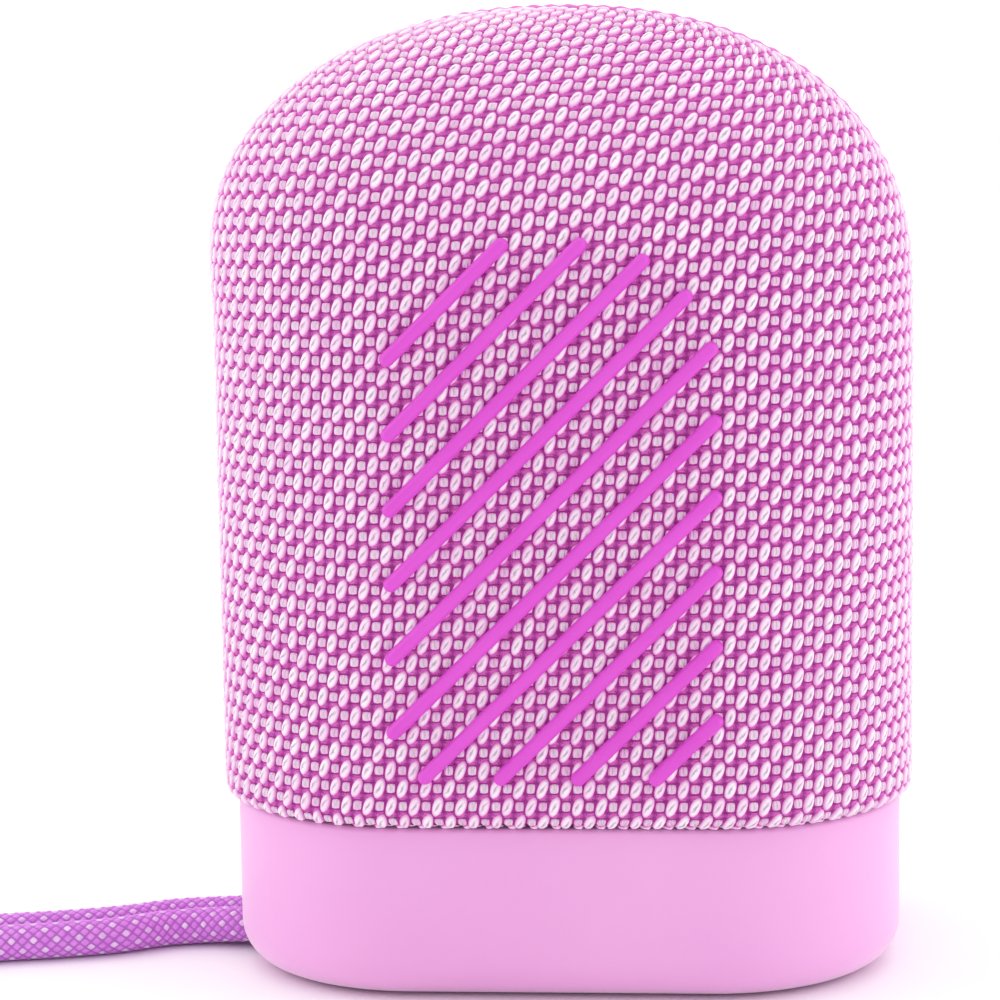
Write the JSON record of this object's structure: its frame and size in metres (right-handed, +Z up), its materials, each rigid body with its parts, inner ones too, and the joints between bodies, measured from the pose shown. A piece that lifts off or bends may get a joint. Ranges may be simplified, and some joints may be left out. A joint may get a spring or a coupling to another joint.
{
  "type": "shower speaker",
  "caption": "Small fabric-wrapped dome speaker on a soft-touch base, with raised diagonal ribs on the front, rear buttons and port flap, and a braided cord loop.",
  "frame": {"origin": "centre of the speaker's footprint, on the surface that it stands on", "axes": "+Z up, the ribbed front faces -Y, the cord leaves on the -X side"},
  "size_m": [0.1809, 0.0638, 0.1024],
  "materials": {
    "woven_fabric": "matte",
    "rib_rubber": "satin",
    "soft_touch_plastic": "satin",
    "pink_rubber": "matte",
    "black_rubber": "matte",
    "black_plastic": "matte",
    "cone_plastic": "matte",
    "bright_steel": "satin",
    "ferrite": "matte",
    "coil_winding": "satin",
    "circuit_board": "satin",
    "chip_case": "matte",
    "cell_wrap": "satin",
    "cord_braid": "matte",
    "wire_sheath": "satin"
  },
  "bodies": {
    "speaker": {"fabric_sleeve": "woven_fabric", "rib_01": "rib_rubber", "rib_02": "rib_rubber", "rib_03": "rib_rubber", "rib_04": "rib_rubber", "rib_05": "rib_rubber", "rib_06": "rib_rubber", "rib_07": "rib_rubber", "rib_08": "rib_rubber", "rib_09": "rib_rubber", "rib_10": "rib_rubber", "base_shell": "soft_touch_plastic", "bottom_plate": "soft_touch_plastic", "lanyard_eyelet": "pink_rubber", "base_seal": "black_rubber", "foot_ring": "black_rubber", "driver_surround": "black_rubber", "dome_frame": "black_plastic", "enclosure_tub": "black_plastic", "baffle_plate": "black_plastic", "driver_basket": "black_plastic", "radiator_frame": "black_plastic", "frame_screw_1": "bright_steel", "bottom_screw_1": "bright_steel", "driver_screw_1": "bright_steel", "tact_switch_1": "chip_case", "frame_screw_2": "bright_steel", "bottom_screw_2": "bright_steel", "driver_screw_2": "bright_steel", "tact_switch_2": "chip_case", "frame_screw_3": "bright_steel", "bottom_screw_3": "bright_steel", "driver_screw_3": "bright_steel", "tact_switch_3": "chip_case", "frame_screw_4": "bright_steel", "bottom_screw_4": "bright_steel", "driver_screw_4": "bright_steel", "tact_switch_4": "chip_case", "board_screw_1": "bright_steel", "board_screw_2": "bright_steel", "lanyard_anchor": "bright_steel", "bluetooth_module": "bright_steel", "usb_port": "bright_steel", "driver_yoke": "bright_steel", "driver_magnet": "ferrite", "main_board": "circuit_board", "amplifier_chip": "chip_case", "battery_cell": "cell_wrap", "lanyard_cord": "cord_braid", "battery_lead": "wire_sheath", "speaker_lead": "wire_sheath"},
    "power_button": {"power_button": "pink_rubber"},
    "volume_down_button": {"volume_down_button": "pink_rubber"},
    "play_button": {"play_button": "pink_rubber"},
    "volume_up_button": {"volume_up_button": "pink_rubber"},
    "port_flap": {"port_flap": "pink_rubber"},
    "cone": {"driver_cone": "cone_plastic", "voice_coil": "coil_winding"},
    "radiator": {"radiator_diaphragm": "black_rubber", "radiator_weight": "bright_steel"}
  },
  "joints": [
    {"name": "power_press", "type": "slide", "parent": "speaker", "child": "power_button", "axis": [0, -1, 0], "range_m": [0, 0.0005], "stiffness_N_per_m": 600},
    {"name": "volume_down_press", "type": "slide", "parent": "speaker", "child": "volume_down_button", "axis": [0, -1, 0], "range_m": [0, 0.0005], "stiffness_N_per_m": 600},
    {"name": "play_press", "type": "slide", "parent": "speaker", "child": "play_button", "axis": [0, -1, 0], "range_m": [0, 0.0005], "stiffness_N_per_m": 600},
    {"name": "volume_up_press", "type": "slide", "parent": "speaker", "child": "volume_up_button", "axis": [0, -1, 0], "range_m": [0, 0.0005], "stiffness_N_per_m": 600},
    {"name": "flap_hinge", "type": "hinge", "parent": "speaker", "child": "port_flap", "pos_m": [0, 0.0283, 0.0059], "axis": [-1, 0, 0], "range_deg": [0, 100]},
    {"name": "cone_travel", "type": "slide", "parent": "speaker", "child": "cone", "axis": [0, 0, 1], "range_m": [-0.0012, 0.0012], "stiffness_N_per_m": 1000},
    {"name": "radiator_travel", "type": "slide", "parent": "speaker", "child": "radiator", "axis": [0, 1, 0], "range_m": [-0.0015, 0.0015], "stiffness_N_per_m": 800}
  ]
}
